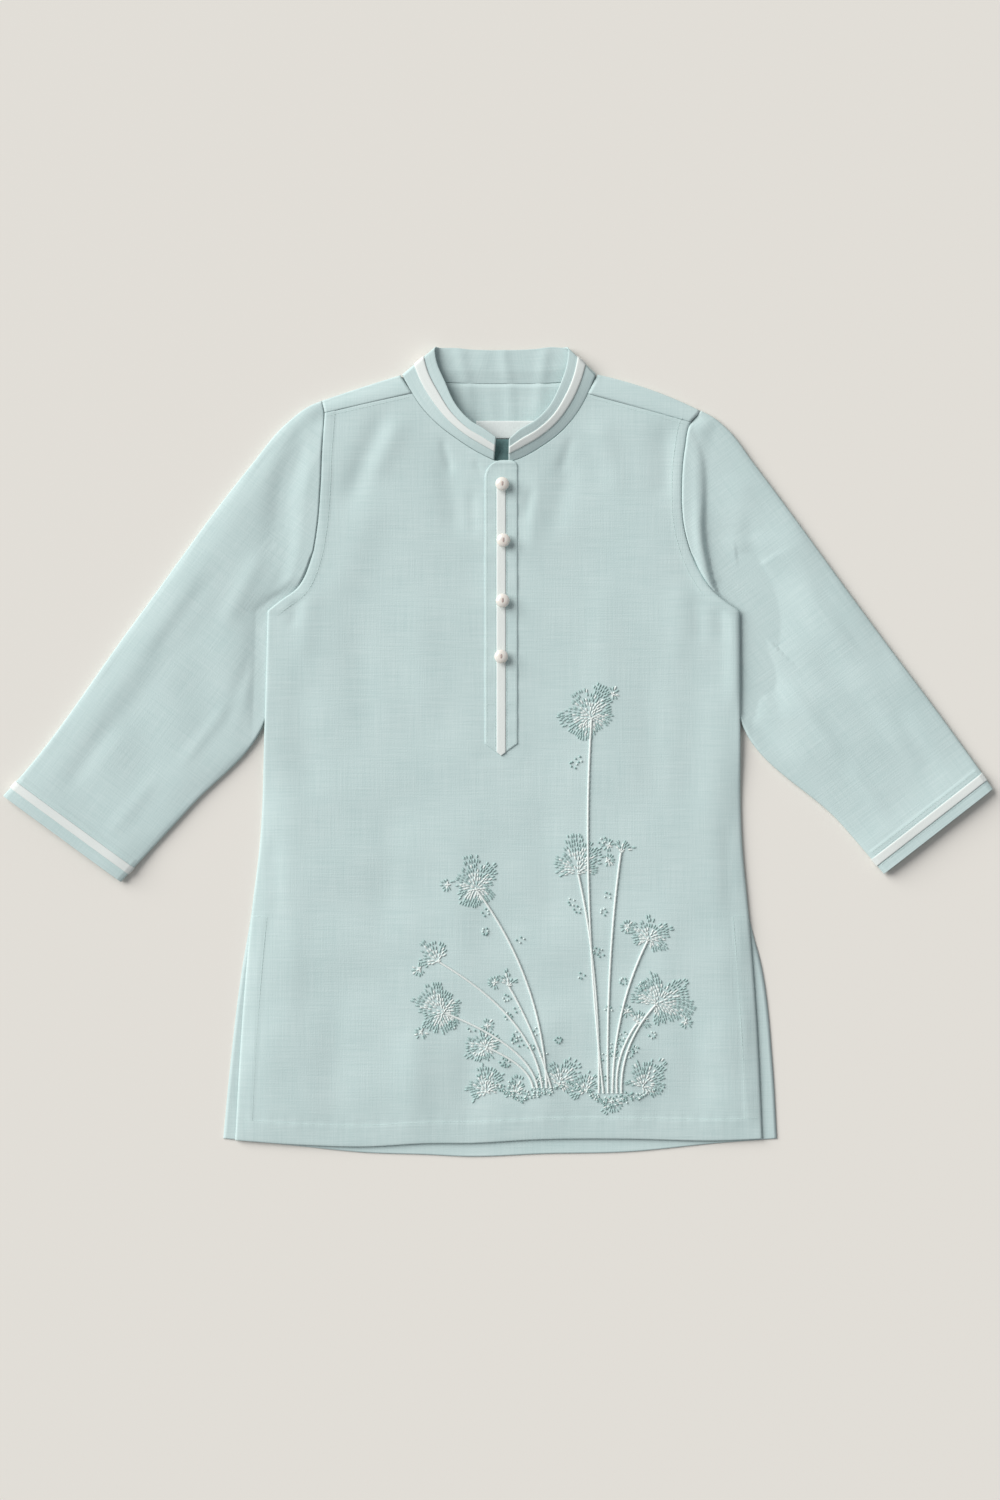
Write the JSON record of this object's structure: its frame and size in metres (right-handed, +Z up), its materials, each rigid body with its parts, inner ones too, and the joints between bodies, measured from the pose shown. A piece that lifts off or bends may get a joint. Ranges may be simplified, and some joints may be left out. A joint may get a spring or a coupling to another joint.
{
  "type": "kurta tunic",
  "caption": "Child's long kurta tunic in pale aqua slub linen, laid flat: stand collar, buttoned placket, white tape trims, long sleeves and side slits.",
  "frame": {"origin": "middle of the garment's outline, on the surface that its back lies on", "axes": "+X towards the picture's right sleeve, +Y towards the collar, +Z up from the surface through the front"},
  "size_m": [0.7414, 0.6083, 0.0146],
  "materials": {
    "linen": "matte slubby linen in pale aqua",
    "tape": "white cotton tape",
    "label": "bare white woven tab",
    "pearl": "soft pearl lustre"
  },
  "bodies": {
    "root": {"back_panel": "linen", "front_panel": "linen", "sleeve_left": "linen", "sleeve_right": "linen", "collar_band": "linen", "placket": "linen", "collar_tape": "tape", "placket_tape": "tape", "cuff_tape_left": "tape", "cuff_tape_right": "tape", "neck_label": "label", "button_1": "pearl", "button_2": "pearl", "button_3": "pearl", "button_4": "pearl"}
  },
  "joints": []
}
